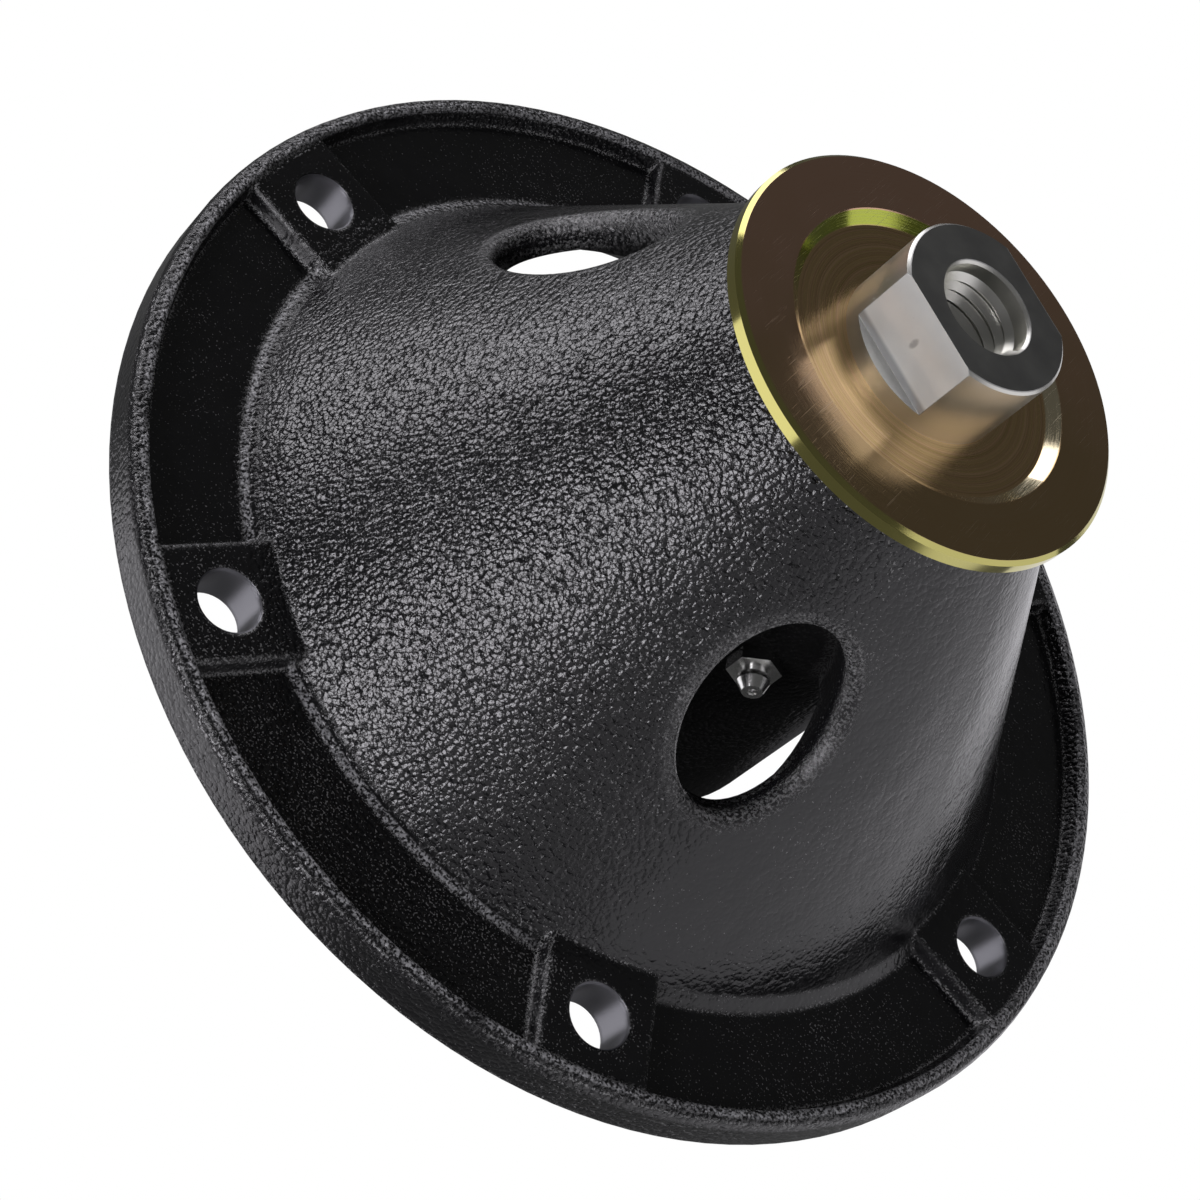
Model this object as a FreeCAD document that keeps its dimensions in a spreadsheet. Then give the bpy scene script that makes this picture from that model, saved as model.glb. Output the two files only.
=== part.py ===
"""Mower deck spindle: a cast bell housing, a turned shaft in two ball bearings and a blade seat.

The origin is the centre of the flange's mounting face, which bolts up under the deck.
+Z runs along the spindle axis towards the blade end, so the sheave end is at -Z.
Lengths are in millimetres and angles in degrees.
"""
import FreeCAD, Part
import math
import os
import re
import Sketcher

# Every driving size, by name.
SIZES = {
    # Flange of the casting, measured from the mounting face.
    "flange_radius": 98.0,
    "rim_rise": 0.5,
    "rim_top_width": 3.0,
    "rim_foot_width": 4.0,
    "rim_outer_round": 1.9,
    "floor_height": 5.0,
    # Bolt bosses, which run from the cone to the rim.
    "bolt_count": 6,
    "bolt_edge_distance": 12.8,
    "bolt_hole_radius": 5.35,
    "bolt_hole_chamfer": 0.2,
    "boss_height": 7.9,
    "boss_width": 20.0,
    "boss_draft": 1.5,
    "boss_end_inset": 2.3,
    "boss_round": 0.7,
    # Cone, its windows and the bearing hub inside it.
    "flange_width": 21.5,
    "cone_foot_flare": 1.4,
    "mouth_wall": 5.25,
    "cone_wall": 6.8,
    "nose_wall": 3.9,
    "nose_gap": 1.3,
    "nose_lip": 2.0,
    "nose_chamfer": 0.8,
    "bell_roof": 34.7,
    "bell_shoulder": 8.8,
    "bell_root_width": 4.6,
    "hub_wall": 10.2,
    "hub_drop": 6.0,
    "window_count": 3,
    "window_drop": 32.5,
    "window_half_length": 17.2,
    "window_half_width": 11.3,
    "window_round": 1.8,
    # Ball bearings, both alike.
    "bearing_bore_radius": 12.5,
    "bearing_outer_radius": 26.0,
    "bearing_width": 15.0,
    "bearing_chamfer": 0.8,
    "inner_ring_wall": 3.7,
    "outer_ring_wall": 3.4,
    "ball_radius": 3.969,
    "ball_count": 9,
    "cage_thickness": 2.4,
    "cage_width": 9.6,
    "seal_thickness": 1.2,
    "seal_recess": 0.4,
    "upper_bearing_drop": 1.0,
    "hub_shoulder_width": 3.0,
    # Clearances.
    "race_clearance": 0.05,
    "pocket_clearance": 0.1,
    "seal_clearance": 0.1,
    "fit_clearance": 0.02,
    # Rings that hold the bearings.
    "snap_ring_thickness": 2.0,
    "snap_groove_depth": 1.5,
    "snap_ring_width": 4.2,
    "ring_lug_radius": 2.2,
    "ring_lug_hole_radius": 1.0,
    "ring_gap_angle": 40.0,
    "circlip_thickness": 1.2,
    "circlip_groove_depth": 0.6,
    "circlip_width": 2.6,
    # Blade seat.
    "seat_radius": 36.35,
    "seat_face_height": 83.0,
    "seat_thickness": 2.7,
    "seat_chamfer": 0.7,
    "recess_radius": 26.2,
    "recess_floor_radius": 24.1,
    "recess_depth": 1.7,
    "seat_hub_radius": 16.0,
    # Shaft.
    "head_radius": 15.0,
    "head_stand": 13.5,
    "head_chamfer": 0.5,
    "flat_distance": 12.1,
    "flat_stand": 1.3,
    "flat_angle": 73.7,
    "blade_thread_radius": 7.94,
    "blade_thread_depth": 38.0,
    "blade_thread_mouth": 0.5,
    "shaft_drop": 54.0,
    "shaft_end_chamfer": 1.0,
    "sheave_thread_radius": 5.0,
    "sheave_thread_depth": 25.0,
    "sheave_thread_mouth": 0.6,
    "keyway_width": 8.0,
    "keyway_depth": 4.0,
    "keyway_length": 24.0,
    "keyway_end_distance": 7.0,
    # Dust cap over the hub end.
    "dust_cap_radius": 33.0,
    "dust_cap_thickness": 1.5,
    "dust_cap_gap": 0.8,
    "dust_cap_hub_radius": 15.8,
    # Grease fitting on the hub, with its axis square to the spindle axis.
    "fitting_angle": 300.0,
    "fitting_drop": 4.5,
    "fitting_thread_radius": 2.6,
    "fitting_thread_length": 8.0,
    "fitting_hex_radius": 4.4,
    "fitting_hex_height": 2.2,
    "fitting_neck_radius": 1.95,
    "fitting_neck_height": 1.1,
    "fitting_head_radius": 2.6,
    "fitting_head_height": 2.6,
    "fitting_tip_radius": 1.7,
    "fitting_passage_radius": 0.7,
    "check_ball_radius": 1.2,
    "check_chamber_radius": 1.35,
    "check_chamber_depth": 7.0,
    "check_mouth_radius": 0.8,
    "spring_wire_radius": 0.15,
    "spring_turns": 5,
}

# Places that follow from the driving sizes and that several pieces share.
DERIVED = {
    "rim_height": "boss_height + rim_rise",
    "cone_foot_radius": "flange_radius - flange_width",
    "bolt_circle_radius": "flange_radius - bolt_edge_distance",
    "inner_land_radius": "bearing_bore_radius + inner_ring_wall",
    "outer_land_radius": "bearing_outer_radius - outer_ring_wall",
    "ball_pitch_radius": "(bearing_bore_radius + bearing_outer_radius) / 2",
    "hub_shoulder_radius": "bearing_outer_radius - hub_shoulder_width",
    "hub_radius": "bearing_outer_radius + hub_wall",
    "nose_radius": "bearing_outer_radius + nose_wall",
    "nose_height": "seat_face_height - seat_thickness - nose_gap",
    "bell_depth": "nose_height - bell_roof",
    "window_height": "nose_height - window_drop",
    "fitting_height": "window_height - fitting_drop",
    "lower_bearing_face": "nose_height - nose_lip - snap_ring_thickness",
    "lower_bearing_height": "lower_bearing_face - bearing_width",
    "head_height": "seat_face_height + head_stand",
    "flat_start_height": "seat_face_height + flat_stand",
}

doc = FreeCAD.newDocument("mower_deck_spindle")


def cell_of(word):
    """A size's cell, for a name in an expression. Other words stay as they are."""
    name = word.group()
    if name in SIZES:
        return "Sizes." + name
    return "Derived." + name if name in DERIVED else name


def bound(expression):
    """The expression with each size's name pointed at its cell."""
    return re.sub(r"[a-z][a-z_]+", cell_of, expression)


def size_sheet(title, rows):
    """A sheet with one aliased cell for each name."""
    made = doc.addObject("Spreadsheet::Sheet", title)
    for row, (name, text) in enumerate(rows, start=1):
        made.set("A%d" % row, name)
        made.set("B%d" % row, text)
        made.setAlias("B%d" % row, name)
    doc.recompute()
    return made


sheet = size_sheet("Sizes", [(name, str(value)) for name, value in SIZES.items()])
derived = size_sheet("Derived", [(name, "=" + bound(text).replace("Derived.", ""))
                                 for name, text in DERIVED.items()])


def size_of(name):
    """The number in a size's cell."""
    return (sheet if name in SIZES else derived).get(name)


def bind(thing, **expressions):
    """Tie an object's properties to sizes. A double underscore in a name stands for a dot."""
    for name, expression in expressions.items():
        thing.setExpression(name.replace("__", "."), bound(expression))
    return thing


def origin_part(body, role):
    """An origin plane or axis of a body, by its role."""
    for feature in body.Origin.OriginFeatures:
        if feature.Role == role:
            return feature
    raise ValueError(role)


def outline(body, name, plane, corners):
    """A closed sketch on an origin plane, with both distances of every corner bound to sizes."""
    sketch = body.newObject("Sketcher::SketchObject", name)
    sketch.AttachmentSupport = [(origin_part(body, plane), "")]
    sketch.MapMode = "FlatFace"
    count = len(corners)
    places = []
    for index in range(count):
        turn = 2 * math.pi * index / count
        places.append(FreeCAD.Vector(60 + 40 * math.cos(turn), 40 * math.sin(turn), 0))
    for index in range(count):
        sketch.addGeometry(Part.LineSegment(places[index], places[(index + 1) % count]), False)
    for index in range(count):
        sketch.addConstraint(Sketcher.Constraint("Coincident", index, 2, (index + 1) % count, 1))
    for index, (across, along) in enumerate(corners):
        for kind, start, expression in (("DistanceX", places[index].x, across),
                                        ("DistanceY", places[index].y, along)):
            number = sketch.addConstraint(Sketcher.Constraint(kind, -1, 1, index, 1, start))
            sketch.setExpression("Constraints[%d]" % number, bound(expression))
    return sketch


def turned(name, corners):
    """A body turned about Z from (radius, height) corners."""
    body = doc.addObject("PartDesign::Body", name)
    sketch = outline(body, name + "_section", "XZ_Plane", corners)
    doc.recompute()
    turn = body.newObject("PartDesign::Revolution", name + "_turn")
    turn.Profile = sketch
    turn.ReferenceAxis = (sketch, ["V_Axis"])
    turn.Angle = 360
    doc.recompute()
    return body


def round_pattern(body, name, feature, count):
    """A feature of a body repeated evenly about Z."""
    pattern = body.newObject("PartDesign::PolarPattern", name)
    pattern.Originals = [feature]
    pattern.Axis = (origin_part(body, "Z_Axis"), [""])
    pattern.Angle = 360
    bind(pattern, Occurrences=count)
    body.Tip = pattern
    doc.recompute()
    return pattern


def solid(kind, name, **expressions):
    """A Part primitive with its sizes bound."""
    return bind(doc.addObject("Part::" + kind, name), **expressions)


def cut(name, base, tool):
    """One shape less another."""
    result = doc.addObject("Part::Cut", name)
    result.Base = base
    result.Tool = tool
    return result


def fused(name, shapes):
    """Several shapes joined into one solid."""
    result = doc.addObject("Part::MultiFuse", name)
    result.Shapes = shapes
    return result


def rounded(name, base, size, wanted):
    """A shape with a fillet on each edge that the test picks."""
    doc.recompute()
    radius = size_of(size)
    picked = [(number, radius, radius) for number, edge in enumerate(base.Shape.Edges, start=1)
              if wanted(edge)]
    result = doc.addObject("Part::Fillet", name)
    result.Base = base
    result.Edges = picked
    doc.recompute()
    return result


# Heights that several pieces share.
UPPER_FACE = "-upper_bearing_drop"
UPPER_SHOULDER = "(bearing_width - upper_bearing_drop)"
LOWER_FACE = "lower_bearing_face"
RECESS_FLOOR = "(seat_face_height - recess_depth)"
HUB_END = "-hub_drop"
CAP_BACK = "(-hub_drop - dust_cap_gap)"
CAP_END = "(-hub_drop - dust_cap_gap - dust_cap_thickness)"
CLIP_END = "(-hub_drop - dust_cap_gap - dust_cap_thickness - circlip_thickness)"

# Fits that several pieces share.
HUB_BORE = "(bearing_outer_radius + fit_clearance)"
SNAP_GROOVE = "(bearing_outer_radius + snap_groove_depth)"
CONE_SLOPE = "((cone_foot_radius - nose_radius) / (nose_height - floor_height))"
CONE_AT_FACE = "(cone_foot_radius + %s * floor_height)" % CONE_SLOPE
CONE_AT_SHOULDER = "(%s - %s * (bell_depth - bell_shoulder))" % (CONE_AT_FACE, CONE_SLOPE)


# The casting: flange, rim, cone and hub turned in one section.
casting = turned("housing_casting", [
    ("hub_shoulder_radius", UPPER_SHOULDER),
    ("hub_shoulder_radius", "lower_bearing_height"),
    (HUB_BORE, "lower_bearing_height"),
    (HUB_BORE, LOWER_FACE),
    (SNAP_GROOVE, LOWER_FACE),
    (SNAP_GROOVE, LOWER_FACE + " + snap_ring_thickness + fit_clearance"),
    (HUB_BORE, LOWER_FACE + " + snap_ring_thickness + fit_clearance"),
    (HUB_BORE, "nose_height"),
    ("nose_radius - nose_chamfer", "nose_height"),
    ("nose_radius + %s * nose_chamfer" % CONE_SLOPE, "nose_height - nose_chamfer"),
    ("cone_foot_radius - %s * cone_foot_flare" % CONE_SLOPE, "floor_height + cone_foot_flare"),
    ("cone_foot_radius + cone_foot_flare", "floor_height"),
    ("flange_radius - rim_foot_width", "floor_height"),
    ("flange_radius - rim_top_width", "rim_height - 0.8 * rim_rise"),
    ("flange_radius - rim_top_width + 0.24 * rim_rise", "rim_height - 0.24 * rim_rise"),
    ("flange_radius - rim_top_width + 0.8 * rim_rise", "rim_height"),
    ("flange_radius - rim_outer_round", "rim_height"),
    ("flange_radius - 0.3 * rim_outer_round", "rim_height - 0.3 * rim_outer_round"),
    ("flange_radius", "rim_height - rim_outer_round"),
    ("flange_radius", "0"),
    (CONE_AT_FACE + " - mouth_wall", "0"),
    (CONE_AT_SHOULDER + " - cone_wall", "bell_depth - bell_shoulder"),
    ("hub_radius + bell_root_width", "bell_depth"),
    ("hub_radius", "bell_depth"),
    ("hub_radius", HUB_END),
    (HUB_BORE, HUB_END),
    (HUB_BORE, UPPER_FACE + " - snap_ring_thickness - fit_clearance"),
    (SNAP_GROOVE, UPPER_FACE + " - snap_ring_thickness - fit_clearance"),
    (SNAP_GROOVE, UPPER_FACE),
    (HUB_BORE, UPPER_FACE),
    (HUB_BORE, UPPER_SHOULDER),
])

# Six drafted bosses stand on the pocket floor, each on the line of a bolt.
boss_section = outline(casting, "boss_section", "YZ_Plane", [
    ("-boss_width / 2 - boss_draft", "floor_height / 2"),
    ("boss_width / 2 + boss_draft", "floor_height / 2"),
    ("boss_width / 2", "boss_height"),
    ("-boss_width / 2", "boss_height"),
])
bind(boss_section, AttachmentOffset__Base__z="cone_foot_radius - 0.75 * cone_wall")
doc.recompute()
boss = casting.newObject("PartDesign::Pad", "boss")
boss.Profile = boss_section
bind(boss, Length="flange_radius - boss_end_inset - cone_foot_radius + 0.75 * cone_wall")
doc.recompute()
round_pattern(casting, "bosses", boss, "bolt_count")


def straight_boss_edge(edge):
    """An upper edge of a boss that runs out from the cone."""
    box = edge.BoundBox
    level = size_of("boss_height")
    return (abs(box.ZMin - level) < 0.01 and abs(box.ZMax - level) < 0.01
            and isinstance(edge.Curve, Part.Line))


flange = rounded("housing_bosses", casting, "boss_round", straight_boss_edge)

# Oval windows through the cone wall, square to it, that stop at the hub.
cone_tilt = math.degrees(math.atan2(size_of("cone_foot_radius") - size_of("nose_radius"),
                                    size_of("nose_height") - size_of("floor_height")))
window_radius = "(nose_radius + %s * (nose_height - window_height))" % CONE_SLOPE
window_tools = []
for number in range(int(size_of("window_count"))):
    oval = solid("Ellipse", "window_outline_%d" % (number + 1),
                 MajorRadius="window_half_length", MinorRadius="window_half_width")
    around = FreeCAD.Rotation(FreeCAD.Vector(0, 0, 1), 180 + 360.0 * number / size_of("window_count"))
    lean = FreeCAD.Rotation(FreeCAD.Vector(0, 1, 0), 90 - cone_tilt)
    oval.Placement.Rotation = around * lean
    outward = around.multVec(FreeCAD.Vector(1, 0, 0))
    bind(oval, Placement__Base__x="%.12f * %s" % (outward.x, window_radius),
         Placement__Base__y="%.12f * %s" % (outward.y, window_radius),
         Placement__Base__z="window_height")
    punch = doc.addObject("Part::Extrusion", "window_punch_%d" % (number + 1))
    punch.Base = oval
    punch.DirMode = "Custom"
    punch.Dir = oval.Placement.Rotation.multVec(FreeCAD.Vector(0, 0, -1))
    punch.Solid = True
    bind(punch, LengthFwd=window_radius + " - hub_radius + window_half_length", LengthRev="cone_wall")
    window_tools.append(punch)
hub_core = solid("Cylinder", "hub_core", Radius="hub_radius", Height="nose_height")
punches = fused("window_punches", window_tools)
windows = cut("window_cuts", punches, hub_core)
pierced = cut("housing_windows", flange, windows)
doc.recompute()


def window_edge(edge):
    """The outer edge of a window, on the cone."""
    box = edge.BoundBox
    middle = box.Center
    reach = math.hypot(middle.x, middle.y)
    length = size_of("window_half_length")
    if abs(middle.z - size_of("window_height")) > 0.2 * length or box.ZLength < length:
        return False
    slope = math.tan(math.radians(cone_tilt))
    for point in edge.discretize(9):
        cone = size_of("nose_radius") + slope * (size_of("nose_height") - point.z)
        if abs(math.hypot(point.x, point.y) - cone) > 0.02:
            return False
    return reach > size_of("hub_radius")


pierced = rounded("housing_window_rounds", pierced, "window_round", window_edge)

# Bolt holes with a chamfered mouth, and the tapped hole for the grease fitting.
drills = []
for number in range(int(size_of("bolt_count"))):
    turn = 2 * math.pi * number / size_of("bolt_count")
    places = {"Placement__Base__x": "%.12f * bolt_circle_radius" % math.cos(turn),
              "Placement__Base__y": "%.12f * bolt_circle_radius" % math.sin(turn)}
    drills.append(solid("Cylinder", "bolt_drill_%d" % (number + 1), Radius="bolt_hole_radius",
                        Height="2 * boss_height", Placement__Base__z="-boss_height / 2", **places))
    drills.append(solid("Cone", "bolt_chamfer_%d" % (number + 1), Radius1="bolt_hole_radius",
                        Radius2="bolt_hole_radius + 2 * bolt_hole_chamfer", Height="2 * bolt_hole_chamfer",
                        Placement__Base__z="boss_height - bolt_hole_chamfer", **places))
fitting_turn = FreeCAD.Rotation(FreeCAD.Vector(0, 0, 1), size_of("fitting_angle"))
fitting_out = fitting_turn.multVec(FreeCAD.Vector(1, 0, 0))
fitting_rotation = fitting_turn * FreeCAD.Rotation(FreeCAD.Vector(0, 1, 0), 90)


def on_fitting_axis(thing, reach):
    """Lay a piece along the grease fitting's axis, with its foot at a distance from the spindle axis."""
    thing.Placement.Rotation = fitting_rotation
    return bind(thing, Placement__Base__x="%.12f * (%s)" % (fitting_out.x, reach),
                Placement__Base__y="%.12f * (%s)" % (fitting_out.y, reach),
                Placement__Base__z="fitting_height")


port = solid("Cylinder", "grease_port", Radius="fitting_thread_radius + fit_clearance",
             Height="hub_radius")
drills.append(on_fitting_axis(port, "hub_shoulder_radius / 2"))
housing = cut("spindle_housing", pierced, fused("housing_drills", drills))

# Blade seat: a dished disc whose hub stands on the lower bearing's inner ring.
seat = turned("blade_seat", [
    ("bearing_bore_radius + fit_clearance", LOWER_FACE),
    ("seat_hub_radius", LOWER_FACE),
    ("seat_hub_radius", RECESS_FLOOR + " - seat_thickness"),
    ("recess_floor_radius", RECESS_FLOOR + " - seat_thickness"),
    ("recess_radius", "seat_face_height - seat_thickness"),
    ("seat_radius", "seat_face_height - seat_thickness"),
    ("seat_radius", "seat_face_height - seat_chamfer"),
    ("seat_radius - seat_chamfer", "seat_face_height"),
    ("recess_radius", "seat_face_height"),
    ("recess_floor_radius", RECESS_FLOOR),
    ("bearing_bore_radius + fit_clearance", RECESS_FLOOR),
])

# Shaft: head with two flats at the blade end, then one plain journal to the sheave end.
shaft_turned = turned("shaft_turned", [
    ("blade_thread_radius", "head_height - blade_thread_depth"),
    ("blade_thread_radius", "head_height - blade_thread_mouth"),
    ("blade_thread_radius + blade_thread_mouth", "head_height"),
    ("head_radius - head_chamfer", "head_height"),
    ("head_radius", "head_height - head_chamfer"),
    ("head_radius", RECESS_FLOOR),
    ("bearing_bore_radius", RECESS_FLOOR),
    ("bearing_bore_radius", CAP_END),
    ("bearing_bore_radius - circlip_groove_depth", CAP_END),
    ("bearing_bore_radius - circlip_groove_depth", CLIP_END + " - fit_clearance"),
    ("bearing_bore_radius", CLIP_END + " - fit_clearance"),
    ("bearing_bore_radius", "shaft_end_chamfer - shaft_drop"),
    ("bearing_bore_radius - shaft_end_chamfer", "-shaft_drop"),
    ("sheave_thread_radius + sheave_thread_mouth", "-shaft_drop"),
    ("sheave_thread_radius", "sheave_thread_mouth - shaft_drop"),
    ("sheave_thread_radius", "sheave_thread_depth - shaft_drop"),
    ("0", "sheave_thread_depth - shaft_drop + 0.3 * sheave_thread_radius"),
    ("0", "head_height - blade_thread_depth - 0.3 * blade_thread_radius"),
])
flat_cutters = []
for number in (0, 1):
    cutter = solid("Box", "flat_cutter_%d" % (number + 1), Length="head_radius", Width="4 * head_radius",
                   Height="head_height")
    turn = size_of("flat_angle") + 180 * number
    cutter.Placement.Rotation = FreeCAD.Rotation(FreeCAD.Vector(0, 0, 1), turn)
    bind(cutter,
         Placement__Base__x="cos(flat_angle + %d) * flat_distance + sin(flat_angle + %d) * 2 * head_radius"
         % (180 * number, 180 * number),
         Placement__Base__y="sin(flat_angle + %d) * flat_distance - cos(flat_angle + %d) * 2 * head_radius"
         % (180 * number, 180 * number),
         Placement__Base__z="flat_start_height")
    flat_cutters.append(cutter)
keyway = solid("Box", "keyway_slot", Length="bearing_bore_radius", Width="keyway_width",
               Height="keyway_length",
               Placement__Base__x="bearing_bore_radius - keyway_depth",
               Placement__Base__y="-keyway_width / 2",
               Placement__Base__z="keyway_end_distance - shaft_drop")
shaft = cut("spindle_shaft", shaft_turned, fused("shaft_cuts", flat_cutters + [keyway]))


def bearing(side, foot, seal_side):
    """The pieces of one ball bearing, drawn with its lower face at the origin and then set at a height."""
    middle = "bearing_width / 2"
    inner_bore = "bearing_bore_radius + fit_clearance"
    outer = turned(side + "_outer_turned", [
        ("outer_land_radius", "0"),
        ("bearing_outer_radius - bearing_chamfer", "0"),
        ("bearing_outer_radius", "bearing_chamfer"),
        ("bearing_outer_radius", "bearing_width - bearing_chamfer"),
        ("bearing_outer_radius - bearing_chamfer", "bearing_width"),
        ("outer_land_radius", "bearing_width"),
    ])
    inner = turned(side + "_inner_turned", [
        (inner_bore + " + bearing_chamfer", "0"),
        ("inner_land_radius", "0"),
        ("inner_land_radius", "bearing_width"),
        (inner_bore + " + bearing_chamfer", "bearing_width"),
        (inner_bore, "bearing_width - bearing_chamfer"),
        (inner_bore, "bearing_chamfer"),
    ])
    pieces = []
    for ring, body in (("outer", outer), ("inner", inner)):
        race = solid("Torus", "%s_%s_race" % (side, ring), Radius1="ball_pitch_radius",
                     Radius2="ball_radius + race_clearance", Placement__Base__z=middle)
        pieces.append(cut("%s_bearing_%s_ring" % (side, ring), body, race))
    balls, pockets = [], []
    for number in range(int(size_of("ball_count"))):
        turn = 2 * math.pi * number / size_of("ball_count")
        places = {"Placement__Base__x": "%.12f * ball_pitch_radius" % math.cos(turn),
                  "Placement__Base__y": "%.12f * ball_pitch_radius" % math.sin(turn),
                  "Placement__Base__z": middle}
        balls.append(solid("Sphere", "%s_ball_%d" % (side, number + 1), Radius="ball_radius", **places))
        pocket = solid("Cylinder", "%s_pocket_%d" % (side, number + 1),
                       Radius="ball_radius + pocket_clearance", Height="2 * cage_thickness",
                       Placement__Base__x="%.12f * (ball_pitch_radius - cage_thickness)" % math.cos(turn),
                       Placement__Base__y="%.12f * (ball_pitch_radius - cage_thickness)" % math.sin(turn),
                       Placement__Base__z=middle)
        pocket.Placement.Rotation = (FreeCAD.Rotation(FreeCAD.Vector(0, 0, 1), math.degrees(turn))
                                     * FreeCAD.Rotation(FreeCAD.Vector(0, 1, 0), 90))
        pockets.append(pocket)
    pieces.append(doc.addObject("Part::Compound", side + "_bearing_balls"))
    pieces[-1].Links = balls
    band = turned(side + "_cage_turned", [
        ("ball_pitch_radius - cage_thickness / 2", "bearing_width / 2 - cage_width / 2"),
        ("ball_pitch_radius + cage_thickness / 2", "bearing_width / 2 - cage_width / 2"),
        ("ball_pitch_radius + cage_thickness / 2", "bearing_width / 2 + cage_width / 2"),
        ("ball_pitch_radius - cage_thickness / 2", "bearing_width / 2 + cage_width / 2"),
    ])
    pieces.append(cut(side + "_bearing_cage", band, fused(side + "_pockets", pockets)))
    near, far = "seal_recess", "seal_recess + seal_thickness"
    if seal_side == "upper":
        near, far = "bearing_width - seal_recess - seal_thickness", "bearing_width - seal_recess"
    pieces.append(turned(side + "_bearing_seal", [
        ("inner_land_radius + seal_clearance", near),
        ("outer_land_radius - fit_clearance", near),
        ("outer_land_radius - fit_clearance", far),
        ("inner_land_radius + seal_clearance", far),
    ]))
    for piece in pieces:
        bind(piece, Placement__Base__z=foot)
    doc.recompute()


bearing("lower", "lower_bearing_height", "upper")
bearing("upper", "-upper_bearing_drop", "lower")

# Spacer tube that keeps the inner rings apart.
turned("bearing_spacer", [
    ("bearing_bore_radius + fit_clearance", UPPER_SHOULDER),
    ("inner_land_radius", UPPER_SHOULDER),
    ("inner_land_radius", "lower_bearing_height"),
    ("bearing_bore_radius + fit_clearance", "lower_bearing_height"),
])

# Dust cap: its hub stands on the upper inner ring and its disc covers the hub end.
turned("upper_dust_cap", [
    ("bearing_bore_radius + fit_clearance", UPPER_FACE),
    ("dust_cap_hub_radius", UPPER_FACE),
    ("dust_cap_hub_radius", CAP_BACK),
    ("dust_cap_radius", CAP_BACK),
    ("dust_cap_radius", CAP_END),
    ("bearing_bore_radius + fit_clearance", CAP_END),
])


def spring_ring(name, outer, inner, lug_place, foot, thickness):
    """A split ring with a pierced lug at each end of its gap."""
    band = solid("Cylinder", name + "_band", Radius=outer, Height=thickness,
                 Angle="360 - ring_gap_angle", Placement__Base__z=foot)
    band.Placement.Rotation = FreeCAD.Rotation(FreeCAD.Vector(0, 0, 1), size_of("ring_gap_angle") / 2)
    opening = solid("Cylinder", name + "_opening", Radius=inner, Height="2 * (%s)" % thickness,
                    Placement__Base__z="%s - (%s) / 2" % (foot, thickness))
    split = cut(name + "_split", band, opening)
    lugs, holes = [], []
    for number, way in enumerate((1, -1), start=1):
        places = {"Placement__Base__x": "cos(ring_gap_angle / 2) * (%s)" % lug_place,
                  "Placement__Base__y": "%d * sin(ring_gap_angle / 2) * (%s)" % (way, lug_place)}
        lugs.append(solid("Cylinder", "%s_lug_%d" % (name, number), Radius="ring_lug_radius",
                          Height=thickness, Placement__Base__z=foot, **places))
        holes.append(solid("Cylinder", "%s_lug_hole_%d" % (name, number), Radius="ring_lug_hole_radius",
                           Height="2 * (%s)" % thickness,
                           Placement__Base__z="%s - (%s) / 2" % (foot, thickness), **places))
    cut(name, fused(name + "_blank", [split] + lugs), fused(name + "_lug_holes", holes))


SNAP_OUTER = "bearing_outer_radius + snap_groove_depth - fit_clearance"
SNAP_INNER = "bearing_outer_radius + snap_groove_depth - snap_ring_width"
SNAP_LUG = "bearing_outer_radius + snap_groove_depth - snap_ring_width - 0.3 * ring_lug_radius"
spring_ring("lower_snap_ring", SNAP_OUTER, SNAP_INNER, SNAP_LUG, LOWER_FACE, "snap_ring_thickness")
spring_ring("upper_snap_ring", SNAP_OUTER, SNAP_INNER, SNAP_LUG,
            "(-upper_bearing_drop - snap_ring_thickness)", "snap_ring_thickness")
CLIP_INNER = "bearing_bore_radius - circlip_groove_depth + fit_clearance"
CLIP_OUTER = "bearing_bore_radius - circlip_groove_depth + circlip_width"
CLIP_LUG = "bearing_bore_radius + ring_lug_radius + fit_clearance"
spring_ring("shaft_circlip", CLIP_OUTER, CLIP_INNER, CLIP_LUG, CLIP_END, "circlip_thickness")

# Grease fitting, drawn upright with its thread's end at the origin and then laid on its axis.
FITTING_FOOT = "hub_radius - fitting_thread_length"
HEX_TOP = "(fitting_thread_length + fitting_hex_height)"
NECK_TOP = "(fitting_thread_length + fitting_hex_height + fitting_neck_height)"
TIP = "(fitting_thread_length + fitting_hex_height + fitting_neck_height + fitting_head_height)"
MOUTH = "(%s - check_ball_radius / 3)" % TIP
CHAMBER_TOP = "(%s - check_ball_radius)" % TIP
CHAMBER_FOOT = "(%s - check_chamber_depth)" % TIP
fitting_turned = turned("fitting_turned", [
    ("fitting_passage_radius", "0"),
    ("fitting_thread_radius", "0"),
    ("fitting_thread_radius", "fitting_thread_length"),
    ("fitting_neck_radius", "fitting_thread_length"),
    ("fitting_neck_radius", NECK_TOP + " - fitting_neck_radius / 4"),
    ("fitting_head_radius", NECK_TOP),
    ("fitting_head_radius", NECK_TOP + " + fitting_head_height / 3"),
    ("fitting_tip_radius", TIP),
    ("check_mouth_radius", TIP),
    ("check_mouth_radius", MOUTH),
    ("check_chamber_radius", CHAMBER_TOP),
    ("check_chamber_radius", CHAMBER_FOOT),
    ("fitting_passage_radius", CHAMBER_FOOT),
])
hexagon = solid("Prism", "fitting_hexagon", Circumradius="fitting_hex_radius",
                Height="fitting_hex_height", Placement__Base__z="fitting_thread_length")
hexagon.Polygon = 6
hex_bore = solid("Cylinder", "fitting_hex_bore", Radius="fitting_neck_radius - spring_wire_radius",
                 Height="2 * " + HEX_TOP)
fitting = fused("grease_fitting_body", [fitting_turned, cut("fitting_nut", hexagon, hex_bore)])
on_fitting_axis(fitting, FITTING_FOOT)

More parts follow.
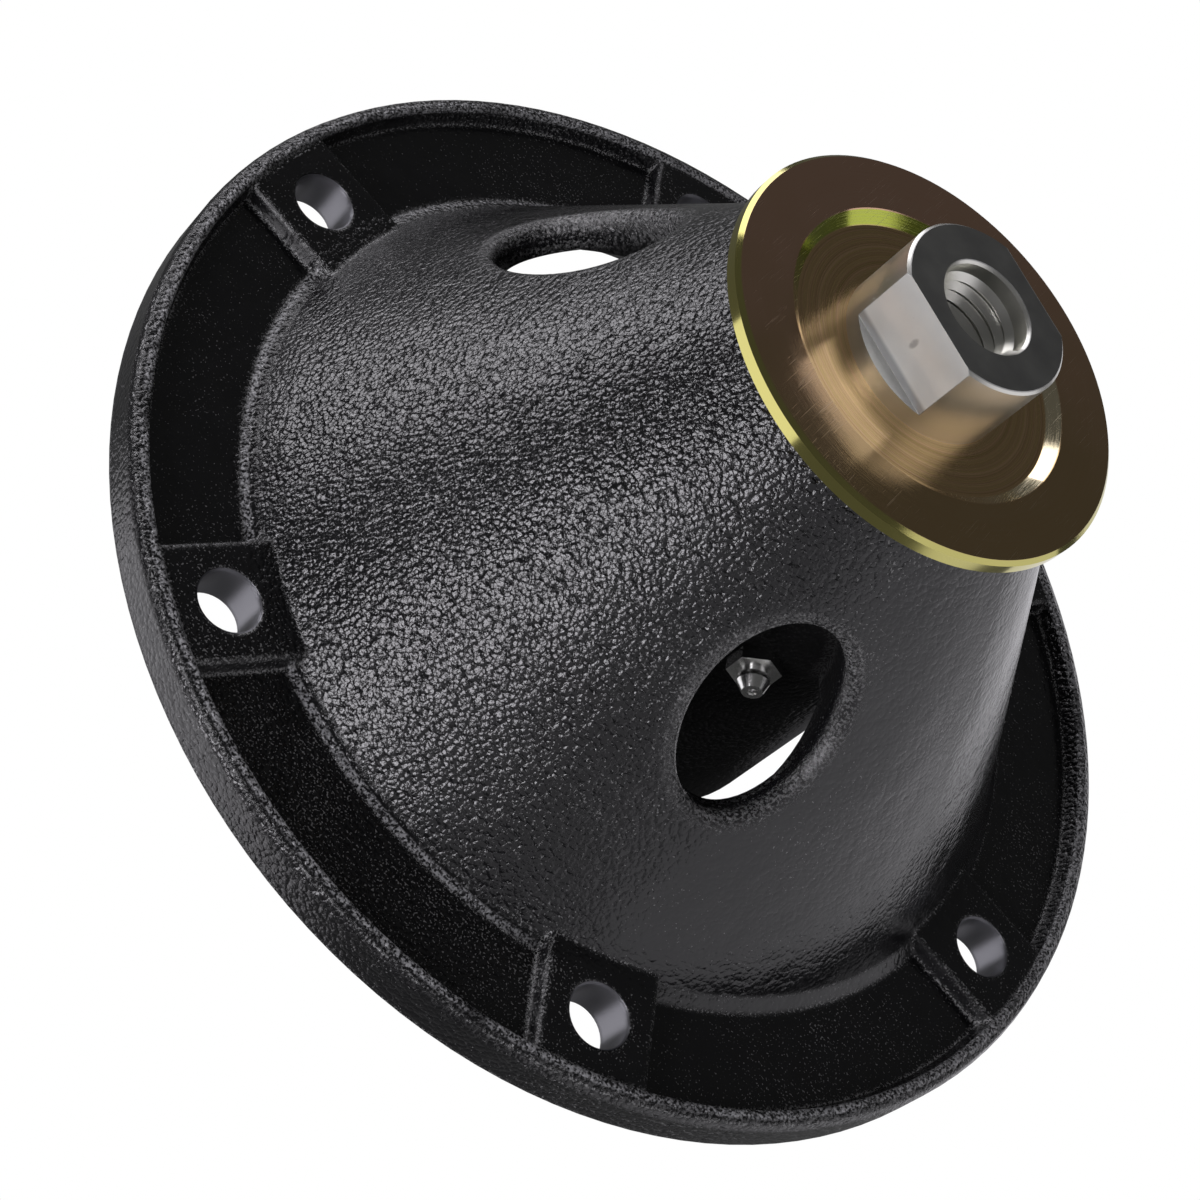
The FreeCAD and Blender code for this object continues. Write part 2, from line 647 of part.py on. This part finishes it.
# The check ball rests under the fitting's coned mouth, and its spring stands on the chamber's floor.
MOUTH_LEAN = "atan((check_chamber_radius - check_mouth_radius) / (check_ball_radius * 2 / 3))"
BALL_DROP = ("(check_ball_radius + race_clearance) / sin(%s) - check_mouth_radius / tan(%s)"
             % (MOUTH_LEAN, MOUTH_LEAN))
BALL_CENTRE = "(%s - (%s))" % (MOUTH, BALL_DROP)
check_ball = solid("Sphere", "grease_fitting_ball", Radius="check_ball_radius")
on_fitting_axis(check_ball, "%s + %s" % (FITTING_FOOT, BALL_CENTRE))

SPRING_RADIUS = "(check_chamber_radius - 2 * spring_wire_radius)"
SPRING_FOOT = "(%s + 1.2 * spring_wire_radius)" % CHAMBER_FOOT
coil = solid("Helix", "spring_coil", Radius=SPRING_RADIUS,
             Height="%s - check_ball_radius - %s" % (BALL_CENTRE, SPRING_FOOT),
             Pitch="(%s - check_ball_radius - %s) / spring_turns" % (BALL_CENTRE, SPRING_FOOT))
wire = solid("RegularPolygon", "spring_wire", Circumradius="spring_wire_radius",
             Placement__Base__x=SPRING_RADIUS)
wire.Polygon = 8
wire.Placement.Rotation = FreeCAD.Rotation(FreeCAD.Vector(1, 0, 0), 90)
doc.recompute()
spring = doc.addObject("Part::Sweep", "grease_fitting_spring")
spring.Sections = [wire]
spring.Spine = (coil, ["Edge1"])
spring.Solid = True
spring.Frenet = True
on_fitting_axis(spring, "%s + %s" % (FITTING_FOOT, SPRING_FOOT))
doc.recompute()

# The pieces that are kept, each in a file of its own.
PIECES = [
    "spindle_housing", "blade_seat", "spindle_shaft",
    "lower_bearing_outer_ring", "lower_bearing_inner_ring", "lower_bearing_balls",
    "lower_bearing_cage", "lower_bearing_seal",
    "upper_bearing_outer_ring", "upper_bearing_inner_ring", "upper_bearing_balls",
    "upper_bearing_cage", "upper_bearing_seal",
    "bearing_spacer", "lower_snap_ring", "upper_snap_ring", "upper_dust_cap", "shaft_circlip",
    "grease_fitting_body", "grease_fitting_ball", "grease_fitting_spring",
]

for thing in doc.Objects:
    if "Invalid" in thing.State or "Error" in thing.State:
        raise RuntimeError("%s did not build: %s" % (thing.Label, thing.State))
for name in PIECES:
    shape = doc.getObject(name).Shape
    if shape.isNull() or not shape.isValid() or not shape.Solids:
        raise RuntimeError("%s has no sound solid" % name)

os.makedirs("parts", exist_ok=True)
for name in PIECES:
    shape = doc.getObject(name).Shape
    shape.exportStep("parts/%s.step" % name)
    print(name, len(shape.Solids), round(shape.Volume, 1))
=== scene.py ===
"""Mower deck spindle: the looks of its casting, blade seat, shaft and inner pieces.

Lengths are in metres, in the frame of the solids. +Z runs along the spindle axis towards
the blade end, and the flange's mounting face lies at Z = 0.
"""
import math

import bpy
from mathutils import Matrix, Vector


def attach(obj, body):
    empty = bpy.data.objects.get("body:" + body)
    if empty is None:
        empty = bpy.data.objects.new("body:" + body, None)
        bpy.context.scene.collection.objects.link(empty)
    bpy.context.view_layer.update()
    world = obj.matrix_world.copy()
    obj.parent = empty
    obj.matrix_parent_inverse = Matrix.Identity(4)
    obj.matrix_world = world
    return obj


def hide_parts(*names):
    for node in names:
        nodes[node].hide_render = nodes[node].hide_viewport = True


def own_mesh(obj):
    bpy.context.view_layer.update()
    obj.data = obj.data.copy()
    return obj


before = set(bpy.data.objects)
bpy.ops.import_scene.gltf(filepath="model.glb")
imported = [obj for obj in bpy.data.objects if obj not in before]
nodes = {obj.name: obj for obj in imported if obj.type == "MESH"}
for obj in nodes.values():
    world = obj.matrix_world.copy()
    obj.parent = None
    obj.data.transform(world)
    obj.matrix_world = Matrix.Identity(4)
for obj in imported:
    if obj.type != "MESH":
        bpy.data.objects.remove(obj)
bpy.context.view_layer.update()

MM = 0.001

# The casting: its bolt holes, cone, flange floor and rim.
BOLT_CIRCLE_RADIUS = 85.2 * MM
BOLT_HOLE_RADIUS = 5.35 * MM
NOSE_HEIGHT = 79 * MM
NOSE_RADIUS = 29.9 * MM
CONE_SLOPE = 0.6297
CONE_FOOT_RADIUS = 76.5 * MM
CONE_FOOT_FLARE = 1.4 * MM
FLOOR_HEIGHT = 5 * MM
FLANGE_RADIUS = 98 * MM
RIM_INSIDE_RADIUS = 95 * MM
RIM_HEIGHT = 8.4 * MM

# The sides of the part that lie lowest and highest in the photograph, as directions across the axis.
LOW_SIDE = (0.84, -0.54)
HIGH_SIDE = (-0.84, 0.54)

# The blade seat: where its chamfer starts, its dished recess and the recess's floor.
SEAT_CHAMFER_RADIUS = 35.65 * MM
RECESS_RADIUS = 26.2 * MM
RECESS_FLOOR_RADIUS = 24.1 * MM

# The shaft's head: its two milled flats, its end and the middle of the smudge on a flat.
FLAT_ANGLE = math.radians(73.7)
FLAT_DISTANCE = 12.1 * MM
FLAT_START_HEIGHT = 84.3 * MM
HEAD_HEIGHT = 96.5 * MM
SMUDGE_HEIGHT = 90.4 * MM


class Value:
    """A shader socket. Python's operators on it add Math nodes to the finish that it belongs to."""

    def __init__(self, finish, socket):
        self.finish = finish
        self.socket = socket

    def maths(self, operation, first, second=None):
        """A Math node on one or two values or numbers."""
        inputs = {0: first} if second is None else {0: first, 1: second}
        return self.finish.node("Math", {"operation": operation}, inputs)

    def __add__(self, other):
        return self.maths("ADD", self, other)

    def __radd__(self, other):
        return self.maths("ADD", other, self)

    def __sub__(self, other):
        return self.maths("SUBTRACT", self, other)

    def __rsub__(self, other):
        return self.maths("SUBTRACT", other, self)

    def __mul__(self, other):
        return self.maths("MULTIPLY", self, other)

    def __rmul__(self, other):
        return self.maths("MULTIPLY", other, self)

    def __truediv__(self, other):
        return self.maths("DIVIDE", self, other)

    def __pow__(self, other):
        return self.maths("POWER", self, other)

    def most(self, other):
        """The larger of two values."""
        return self.maths("MAXIMUM", self, other)

    def step(self, low, high):
        """0 at low, 1 at high, and a smooth rise or fall between them."""
        settings = {"interpolation_type": "SMOOTHSTEP"}
        return self.finish.node("MapRange", settings, {"Value": self, "From Min": low, "From Max": high})


class Finish:
    """One material, with a Principled shader whose sockets are set by name."""

    def __init__(self, name):
        self.material = bpy.data.materials.new(name)
        self.material.use_nodes = True
        self.tree = self.material.node_tree
        self.tree.nodes.clear()
        self.output = self.tree.nodes.new("ShaderNodeOutputMaterial")
        self.shader = self.tree.nodes.new("ShaderNodeBsdfPrincipled")
        self.surface = Value(self, self.shader.outputs[0])
        self.show(self.surface)
        self.coordinates = self.node("TexCoord", {}, {}, "Object")

    def node(self, kind, settings, inputs, output=0):
        """Add a node, apply its settings, then fill its sockets with numbers, colours or links."""
        made = self.tree.nodes.new("ShaderNode" + kind)
        for name, setting in settings.items():
            if name == "stops":
                self.fill_ramp(made.color_ramp, setting)
            else:
                setattr(made, name, setting)
        for name, value in inputs.items():
            self.put(made.inputs[name], value)
        return Value(self, made.outputs[output])

    @staticmethod
    def fill_ramp(ramp, stops):
        """Set a colour ramp's stops from (place, colour) pairs."""
        while len(ramp.elements) < len(stops):
            ramp.elements.new(0.5)
        for element, (place, colour) in zip(ramp.elements, stops):
            element.position = place
            element.color = (*colour, 1)

    def put(self, socket, value):
        """Fill one socket with a link, a number or a colour."""
        if isinstance(value, Value):
            self.tree.links.new(value.socket, socket)
        elif socket.type == "RGBA" and len(value) == 3:
            socket.default_value = (*value, 1)
        else:
            socket.default_value = value

    def shade(self, **sockets):
        """Fill the Principled shader's sockets. An underscore in a name stands for a space."""
        for name, value in sockets.items():
            self.put(self.shader.inputs[name.replace("_", " ")], value)

    def show(self, shader):
        """Make a shader the material's surface."""
        self.put(self.output.inputs["Surface"], shader)

    def noise(self, size, detail=2.0):
        """A noise between about 0 and 1 whose lumps are about one size across."""
        return self.node("TexNoise", {}, {"Vector": self.coordinates, "Scale": 1 / size, "Detail": detail})

    def cells(self, size):
        """Uneven cells of about one size: the distance from their middles."""
        wander = {"Vector": self.coordinates, "Scale": 0.6 / size, "Detail": 2.0}
        drift = self.node("TexNoise", {}, wander, "Color")
        drift = self.node("VectorMath", {"operation": "SCALE"}, {0: drift, "Scale": size})
        place = self.node("VectorMath", {"operation": "ADD"}, {0: self.coordinates, 1: drift})
        return self.node("TexVoronoi", {}, {"Vector": place, "Scale": 1 / size}, "Distance")

    def turning(self, spacing, detail):
        """Rings round the axis, as a lathe leaves them: a noise of the radius alone."""
        return self.node("TexNoise", {"noise_dimensions": "1D"},
                         {"W": self.radius() * (1 / spacing), "Detail": detail})

    def scratches(self, width, length, angle):
        """Thin straight scratches that lie one way on a face across the spindle axis."""
        place = self.node("Mapping", {}, {"Vector": self.coordinates, "Rotation": (0, 0, math.radians(angle)),
                                          "Scale": (1 / width, 1 / length, 1 / length)})
        return self.node("TexNoise", {}, {"Vector": place, "Scale": 1.0, "Detail": 0.0}).step(0.76, 0.83)

    def blend(self, factor, first, second):
        """One colour that turns into another with a factor."""
        return self.node("Mix", {"data_type": "RGBA"}, {0: factor, 6: first, 7: second}, 2)

    def mix(self, factor, first, second):
        """One shader that turns into another with a factor."""
        return self.node("MixShader", {}, {0: factor, 1: first, 2: second})

    def axes(self):
        """The X, Y and Z of the point on the surface."""
        split = self.node("SeparateXYZ", {}, {"Vector": self.coordinates}).socket.node
        return [Value(self, split.outputs[name]) for name in "XYZ"]

    def radius(self):
        """The distance from the spindle axis."""
        across, along, _ = self.axes()
        return (across * across + along * along) ** 0.5

    def toward(self, direction):
        """How far the point lies in one direction across the spindle axis."""
        across, along, _ = self.axes()
        return across * direction[0] + along * direction[1]

    def bolt_distance(self):
        """The distance from the axis of the nearest of the six bolt holes."""
        across, along, _ = self.axes()
        radius = self.radius()
        sixth = math.pi / 3
        # A whole turn is added so that the remainder is never negative.
        turn = along.maths("ARCTAN2", along, across) + (2 * math.pi + sixth / 2)
        turn = turn.maths("MODULO", turn, sixth) - sixth / 2
        out = radius * turn.maths("COSINE", turn) - BOLT_CIRCLE_RADIUS
        aside = radius * turn.maths("SINE", turn)
        return (out * out + aside * aside) ** 0.5

    def relief(self, height, depth, strength=1.0, under=None):
        """A bumped normal from a height between 0 and 1 and its depth."""
        inputs = {"Height": height, "Distance": depth, "Strength": strength}
        if under is not None:
            inputs["Normal"] = under
        return self.node("Bump", {}, inputs, "Normal")

    def on(self, *pieces):
        """Give pieces this finish all over."""
        for piece in pieces:
            piece.data.materials.clear()
            piece.data.materials.append(self.material)
        return self


def bell_inside(finish):
    """A mask of the bell's inner wall, which lies some millimetres inside the cone's surface."""
    height = finish.axes()[2]
    cone = (NOSE_HEIGHT - height) * CONE_SLOPE + NOSE_RADIUS
    below_nose = height.step(NOSE_HEIGHT - 1 * MM, NOSE_HEIGHT - 5 * MM)
    return (cone - finish.radius()).step(4 * MM, 8 * MM) * below_nose


def cone_foot(finish):
    """A mask of the narrow ring where the cone meets the flange floor."""
    height = finish.axes()[2]
    aside = (finish.radius() - (CONE_FOOT_RADIUS + CONE_FOOT_FLARE / 2)) / MM
    return (aside * aside).step(0.6, 0.1) * height.step(FLOOR_HEIGHT + 2.5 * MM, FLOOR_HEIGHT + 1.5 * MM)


def rim_crest(finish):
    """A mask of the narrow flat top of the flange's rim."""
    height = finish.axes()[2]
    radius = finish.radius()
    past_inside = radius.step(RIM_INSIDE_RADIUS - 0.4 * MM, RIM_INSIDE_RADIUS)
    before_outside = radius.step(FLANGE_RADIUS - 1.2 * MM, FLANGE_RADIUS - 1.8 * MM)
    return past_inside * before_outside * height.step(RIM_HEIGHT - 1 * MM, RIM_HEIGHT - 0.5 * MM)


def cast_paint():
    """Black paint over a sand-cast skin: a fine grain, painted highlights on it as pale glint specks, and
    paler painted highlights on the rim's crest and the cone's foot.

    The grain is shallow on the flange floor and on the cone's +X side. The bolt holes are bare metal,
    and the bell's inner wall is a nearly black matte, which is painted shade inside the bell.
    """
    finish = Finish("black_cast_paint")
    across, _, height = finish.axes()
    radius = finish.radius()
    bore = finish.bolt_distance().step(BOLT_HOLE_RADIUS + 0.4 * MM, BOLT_HOLE_RADIUS + 0.2 * MM)
    rim = radius.step(RIM_INSIDE_RADIUS - 1.2 * MM, RIM_INSIDE_RADIUS - 0.4 * MM)
    outer = radius.step(FLANGE_RADIUS - 0.8 * MM, FLANGE_RADIUS - 0.2 * MM)
    floor = radius.step(CONE_FOOT_RADIUS + 1.5 * MM, CONE_FOOT_RADIUS + 3.5 * MM) * (1 - rim)
    low = finish.toward(LOW_SIDE).step(-25 * MM, 30 * MM)
    smooth = across.step(12 * MM, 40 * MM) * (1 - rim)

    # Edges look rounded, those of the windows more than those of the flange.
    true = finish.node("NewGeometry", {}, {}, "Normal")
    rounding = 1.2 * MM + height.step(10 * MM, 14 * MM) * (2.4 * MM)
    soft = finish.node("Bevel", {"samples": 3}, {"Radius": rounding})
    lean = finish.node("VectorMath", {"operation": "DOT_PRODUCT"}, {0: soft, 1: true}, "Value")
    edge = (1 - lean).step(0.01, 0.16)

    swell = finish.noise(5 * MM)
    wave = finish.noise(24 * MM, 1.0)
    centre = finish.cells(0.9 * MM)
    pits = finish.noise(0.45 * MM)
    depth = 1 - floor * (0.85 - low * 0.5) + rim * 0.5 - outer * (0.95 - low * 0.3)
    depth = depth * (1 - smooth * 0.7)
    grain = (pits * 0.4 - centre * centre * 0.8) * depth + swell * 0.9 + wave * 3.0

    # Painted highlights: pale specks in the paint's colour stand for glints of light. They are denser along
    # edges, more so on the windows' edges and towards the low side of the flange floor, and sparser on the
    # cone's +X side and on the outer wall.
    patch = finish.noise(14 * MM)
    glint_field = finish.noise(0.42 * MM, 1.0) + (patch - 0.5) * 0.25
    glint_field = glint_field + edge * (0.17 + height.step(14 * MM, 18 * MM) * 0.08)
    glint_field = glint_field + floor * (low * 0.07 - 0.02) - smooth * 0.05 - outer * 0.06
    painted_glint = glint_field.step(0.65, 0.72)
    # Painted highlights: paler patches on the rim's crest and a paler line along the cone's foot, weaker on
    # the +X side, stand for light caught by these edges.
    painted_edge_light = (rim_crest(finish) * patch.step(0.30, 0.50)).most(cone_foot(finish) * (1 - smooth) * 0.8)

    paint = finish.blend(swell, (0.003, 0.003, 0.0034), (0.007, 0.007, 0.0078))
    # The paint is lightened where the painted edge highlights and then the painted glints lie.
    paint = finish.blend(painted_edge_light * pits.step(0.42, 0.62), paint, (0.30, 0.30, 0.31))
    paint = finish.blend(painted_glint * (0.25 + edge * 0.55), paint, (0.46, 0.46, 0.46))
    finish.shade(
        Base_Color=finish.blend(bore, paint, (0.18, 0.18, 0.195)),
        Metallic=bore * 0.8,
        Roughness=(0.12 + swell * 0.08) * (1 - bore) + bore * 0.32,
        Specular_IOR_Level=0.5,
        Normal=finish.relief(grain * (1 - bore), 0.24 * MM, 1.0, soft),
    )
    # Painted shade: the bell's inner wall turns into a nearly black matte.
    painted_bell_shade = finish.node("BsdfDiffuse", {}, {"Color": (0.006, 0.006, 0.006), "Roughness": 0.5})
    finish.show(finish.mix(bell_inside(finish) * 0.9, finish.surface, painted_bell_shade))
    return finish


def seat_scratches(finish, drift, floor):
    """Fine scratches three ways and faint turning rings, all round the recess's floor."""
    lines = finish.scratches(0.10 * MM, 7 * MM, 20).most(finish.scratches(0.10 * MM, 5 * MM, 78))
    lines = lines.most(finish.scratches(0.12 * MM, 9 * MM, 140)) * drift.step(0.40, 0.55) * (1 - floor)
    rings = finish.turning(0.5 * MM, 0.0).step(0.58, 0.72)
    return lines.most(rings * drift * (1 - floor) * 0.7)


def seat_zinc():
    """Zinc plate with a yellow passivate over turned steel.

    The flat ring goes from an olive brown to a paler coppery brown towards the high side, partly a random
    drift of tone and partly a painted sheen.
    Its edge is yellow-green, and the recess's bevel is yellow-green on the high side and pale on the low
    side, a painted highlight. The recess's floor shows turning rings of olive, gold and pink. Fine scratches
    lie on the ring.
    """
    finish = Finish("yellow_zinc")
    radius = finish.radius()
    recess = radius.step(RECESS_RADIUS - 0.05 * MM, RECESS_RADIUS - 0.25 * MM)
    floor = radius.step(RECESS_FLOOR_RADIUS + 0.2 * MM, RECESS_FLOOR_RADIUS - 0.1 * MM)
    rim = radius.step(SEAT_CHAMFER_RADIUS - 0.1 * MM, SEAT_CHAMFER_RADIUS + 0.1 * MM)
    drift = finish.noise(14 * MM)
    high = finish.toward(HIGH_SIDE) / (36 * MM) + (drift - 0.5) * 0.8
    hair = seat_scratches(finish, drift, floor) * (1 - rim)

    fine = finish.turning(0.3 * MM, 2.0)
    broad = finish.turning(1.3 * MM, 3.0)
    stops = [(0.30, (0.40, 0.27, 0.11)), (0.42, (0.82, 0.52, 0.28)), (0.50, (0.46, 0.42, 0.10)),
             (0.60, (0.95, 0.58, 0.43)), (0.70, (0.48, 0.32, 0.15))]
    streak = finish.node("ValToRGB", {"stops": stops}, {"Fac": broad + fine * 1.1 - 0.55}, "Color")

    # Painted sheen: the ring's brown is paler and more coppery towards the high side, beside a random drift
    # of tone, and the bevel is pale on the low side, a painted highlight.
    brown = finish.blend(high.step(-0.8, 0.9), (0.49, 0.34, 0.17), (0.68, 0.42, 0.29))
    bevel = finish.blend(high.step(0.1, 0.5), (0.84, 0.74, 0.50), (0.46, 0.52, 0.08))
    colour = finish.blend(floor, brown, streak)
    colour = finish.blend(recess - floor, colour, bevel)
    colour = finish.blend(rim, colour, (0.54, 0.50, 0.17))
    finish.shade(
        Base_Color=finish.blend(hair * 0.3, colour, (0.72, 0.64, 0.55)),
        Metallic=1.0,
        Roughness=0.08 + drift * 0.05 + floor * 0.04 + hair * 0.3,
        Normal=finish.relief(fine * (0.3 + floor * 0.7), 0.014 * MM, 0.7),
    )
    return finish


def bright_steel():
    """Turned and milled steel: a dark turned end, pale milled flats with a smudge, a bright round side."""
    finish = Finish("bright_steel")
    height = finish.axes()[2]
    reach = finish.toward((math.cos(FLAT_ANGLE), math.sin(FLAT_ANGLE)))
    aside = finish.toward((-math.sin(FLAT_ANGLE), math.cos(FLAT_ANGLE)))
    flat = (reach * reach).step((FLAT_DISTANCE - 0.15 * MM) ** 2, (FLAT_DISTANCE - 0.05 * MM) ** 2)
    flat = flat * height.step(FLAT_START_HEIGHT - 0.1 * MM, FLAT_START_HEIGHT + 0.1 * MM)
    end = height.step(HEAD_HEIGHT - 0.2 * MM, HEAD_HEIGHT - 0.05 * MM)
    runout = height.step(FLAT_START_HEIGHT + 1.9 * MM, FLAT_START_HEIGHT + 0.9 * MM)
    rise = (height - SMUDGE_HEIGHT) / (1.2 * MM)
    smudge = (aside * aside / (0.6 * MM) ** 2 + rise * rise).step(1.3, 0.2)
    smudge = smudge * finish.noise(1.1 * MM, 1.0).step(0.20, 0.60) * 0.6

    rings = finish.turning(0.2 * MM, 2.0)
    cloud = finish.noise(5 * MM, 3.0)
    nick = finish.noise(0.7 * MM, 1.0).step(0.70, 0.78)
    steel = finish.blend(cloud, (0.66, 0.66, 0.62), (0.76, 0.75, 0.70))
    steel = finish.blend(end, steel, finish.blend(cloud, (0.26, 0.26, 0.26), (0.46, 0.46, 0.44)))
    milled = finish.blend(cloud, (0.57, 0.58, 0.57), (0.68, 0.69, 0.67))
    milled = finish.blend(smudge.most(runout * 0.8), milled, (0.22, 0.22, 0.22))
    finish.shade(
        Base_Color=finish.blend(flat, steel, milled),
        Metallic=1.0,
        Roughness=0.26 + cloud * 0.08 + nick * 0.12 + flat * 0.20 + end * 0.10,
        Normal=finish.relief(rings * end * 0.6 + nick * 0.6, 0.015 * MM, 0.6),
    )
    return finish


def plain_metal(name, dark, light, rough):
    """A small inner piece's metal: two close tones and a faint grain."""
    finish = Finish(name)
    cloud = finish.noise(3 * MM, 3.0)
    fine = finish.noise(0.3 * MM)
    finish.shade(Base_Color=finish.blend(cloud, dark, light), Metallic=1.0,
                 Roughness=rough + fine * 0.12, Normal=finish.relief(fine, 0.01 * MM, 0.5))
    return finish


def seal_rubber():
    """Moulded black rubber of the bearing seals."""
    finish = Finish("seal_rubber")
    fine = finish.noise(0.4 * MM)
    finish.shade(Base_Color=finish.blend(fine, (0.010, 0.010, 0.010), (0.022, 0.022, 0.021)),
                 Roughness=0.55 + fine * 0.2, Normal=finish.relief(fine, 0.02 * MM, 0.5))
    return finish


def select_only(piece):
    """Select one piece and make it the active object."""
    bpy.ops.object.select_all(action="DESELECT")
    piece.select_set(True)
    bpy.context.view_layer.objects.active = piece


def blade_thread():
    """The blade bolt's thread: one ridge that winds up the tapped hole."""
    pitch = 2.309 * MM
    turns = 15
    hole_radius = 7.94 * MM
    ridge = 1.05 * MM
    lowest = 59.5 * MM
    bpy.ops.object.select_all(action="DESELECT")
    bpy.ops.mesh.primitive_circle_add(vertices=4, radius=ridge, location=(hole_radius, 0, lowest),
                                      rotation=(math.pi / 2, 0, 0))
    piece = bpy.context.object
    piece.name = "blade_thread"
    bpy.ops.object.transform_apply(location=True, rotation=True, scale=True)
    select_only(piece)
    screw = piece.modifiers.new("screw", "SCREW")
    screw.angle = 2 * math.pi
    screw.screw_offset = pitch
    screw.iterations = turns
    screw.steps = 72
    screw.render_steps = 72
    screw.use_smooth_shade = True
    screw.use_normal_calculate = True
    bpy.ops.object.modifier_apply(modifier=screw.name)
    bpy.ops.object.shade_smooth_by_angle(angle=math.radians(40))
    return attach(piece, "spindle")


def check_spring():
    """The check ball's spring, copied from the fitting's spring, smooth shaded and put in its place."""
    piece = bpy.data.objects.new("check_spring", nodes["grease_fitting_spring"].data.copy())
    bpy.context.scene.collection.objects.link(piece)
    select_only(piece)
    bpy.ops.object.mode_set(mode="EDIT")
    bpy.ops.mesh.select_all(action="SELECT")
    bpy.ops.mesh.remove_doubles(threshold=0.0005 * MM)
    bpy.ops.object.mode_set(mode="OBJECT")
    bpy.ops.object.shade_smooth_by_angle(angle=math.radians(50))
    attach(piece, "housing")
    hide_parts("grease_fitting_spring")
    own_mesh(piece)
    return piece


def finish_pieces(thread, spring):
    """Give every piece its finish."""
    bearings = [nodes[side + "_bearing_" + part] for side in ("lower", "upper")
                for part in ("outer_ring", "inner_ring", "balls")]
    cast_paint().on(nodes["spindle_housing"])
    seat_zinc().on(nodes["blade_seat"])
    bright_steel().on(nodes["spindle_shaft"], thread)
    plain_metal("ground_bearing_steel", (0.55, 0.55, 0.55), (0.66, 0.66, 0.65), 0.14).on(
        *bearings, nodes["grease_fitting_ball"])
    plain_metal("pressed_cage_steel", (0.40, 0.39, 0.37), (0.50, 0.49, 0.46), 0.3).on(
        nodes["lower_bearing_cage"], nodes["upper_bearing_cage"])
    plain_metal("spacer_steel", (0.42, 0.42, 0.41), (0.52, 0.52, 0.50), 0.28).on(nodes["bearing_spacer"])
    plain_metal("phosphated_spring_steel", (0.06, 0.06, 0.06), (0.11, 0.11, 0.10), 0.38).on(
        nodes["lower_snap_ring"], nodes["upper_snap_ring"], nodes["shaft_circlip"], spring)
    plain_metal("zinc_cap", (0.46, 0.38, 0.20), (0.52, 0.46, 0.26), 0.26).on(nodes["upper_dust_cap"])
    plain_metal("zinc_fitting", (0.62, 0.62, 0.61), (0.74, 0.74, 0.72), 0.18).on(nodes["grease_fitting_body"])
    seal_rubber().on(nodes["lower_bearing_seal"], nodes["upper_bearing_seal"])


def camera():
    """The photograph's viewpoint, with its roll."""
    data = bpy.data.cameras.new("camera")
    data.lens = 86.154
    data.sensor_width = 36
    data.clip_start = 0.01
    made = bpy.data.objects.new("camera", data)
    bpy.context.scene.collection.objects.link(made)
    right = Vector((0.66189, 0.51104, 0.54841))
    up = Vector((-0.74867, 0.48747, 0.44932))
    back = right.cross(up)
    turn = Matrix((right, up, back)).transposed().to_4x4()
    made.matrix_world = Matrix.Translation((-0.02180, -0.35492, 0.34775)) @ turn
    bpy.context.scene.camera = made


def floor():
    """A pale floor below the part, white to the camera, dim to everything else and clear from below."""
    bpy.ops.object.select_all(action="DESELECT")
    bpy.ops.mesh.primitive_plane_add(size=12, location=(0, 0, -1.2))
    made = bpy.context.object
    made.name = "floor"
    finish = Finish("pale_floor")
    finish.shade(Base_Color=(0.1, 0.1, 0.1), Roughness=0.9, Emission_Color=(1, 1, 1), Emission_Strength=0.1)
    seen = finish.node("LightPath", {}, {}, "Is Camera Ray")
    white = finish.node("Emission", {}, {"Color": (1, 1, 1), "Strength": 1.0})
    below = finish.node("NewGeometry", {}, {}, "Backfacing")
    clear = finish.node("BsdfTransparent", {}, {"Color": (1, 1, 1)})
    finish.show(finish.mix(below, finish.mix(seen, finish.surface, white), clear))
    finish.on(made)


def softbox(name, toward, size, radiance):
    """A square soft light at one distance from the part's middle, facing it."""
    middle = Vector((0, 0, 0.04))
    distance = 0.75
    data = bpy.data.lights.new(name, "AREA")
    data.shape = "SQUARE"
    data.size = size
    # A square light's radiance is its watts over four times its area.
    data.energy = radiance * 4 * size * size
    data.color = (0.97, 0.95, 1.0)
    made = bpy.data.objects.new(name, data)
    bpy.context.scene.collection.objects.link(made)
    made.location = middle + Vector(toward).normalized() * distance
    made.rotation_euler = (middle - made.location).to_track_quat("-Z", "Y").to_euler()


def studio():
    """Two bright soft lights at the left, and broad dim panels in front, at the right, behind and below."""
    softbox("left", (-0.99, 0.02, 0.08), 0.34, 5.2)
    softbox("front_left", (-0.40, -0.87, 0.22), 0.34, 8.3)
    softbox("front", (0.25, -0.91, 0.32), 0.7, 0.36)
    softbox("right", (0.96, -0.06, 0.06), 1.3, 0.64)
    softbox("right_back", (0.45, 0.80, -0.40), 0.6, 0.6)
    softbox("back_left", (-0.74, 0.62, 0.26), 0.46, 1.9)
    softbox("low_left", (-0.50, -0.50, -0.70), 0.74, 1.0)


def room():
    """A dim room round the part, which the camera sees as white."""
    world = bpy.data.worlds.new("room")
    bpy.context.scene.world = world
    world.use_nodes = True
    tree = world.node_tree
    dim = tree.nodes["Background"]
    dim.inputs["Color"].default_value = (0.9, 0.9, 0.9, 1)
    dim.inputs["Strength"].default_value = 0.085
    white = tree.nodes.new("ShaderNodeBackground")
    white.inputs["Color"].default_value = (1, 1, 1, 1)
    seen = tree.nodes.new("ShaderNodeLightPath")
    mixed = tree.nodes.new("ShaderNodeMixShader")
    tree.links.new(seen.outputs["Is Camera Ray"], mixed.inputs[0])
    tree.links.new(dim.outputs[0], mixed.inputs[1])
    tree.links.new(white.outputs[0], mixed.inputs[2])
    tree.links.new(mixed.outputs[0], tree.nodes["World Output"].inputs["Surface"])
    bpy.context.scene.view_settings.view_transform = "Standard"


finish_pieces(blade_thread(), check_spring())
camera()
floor()
studio()
room()
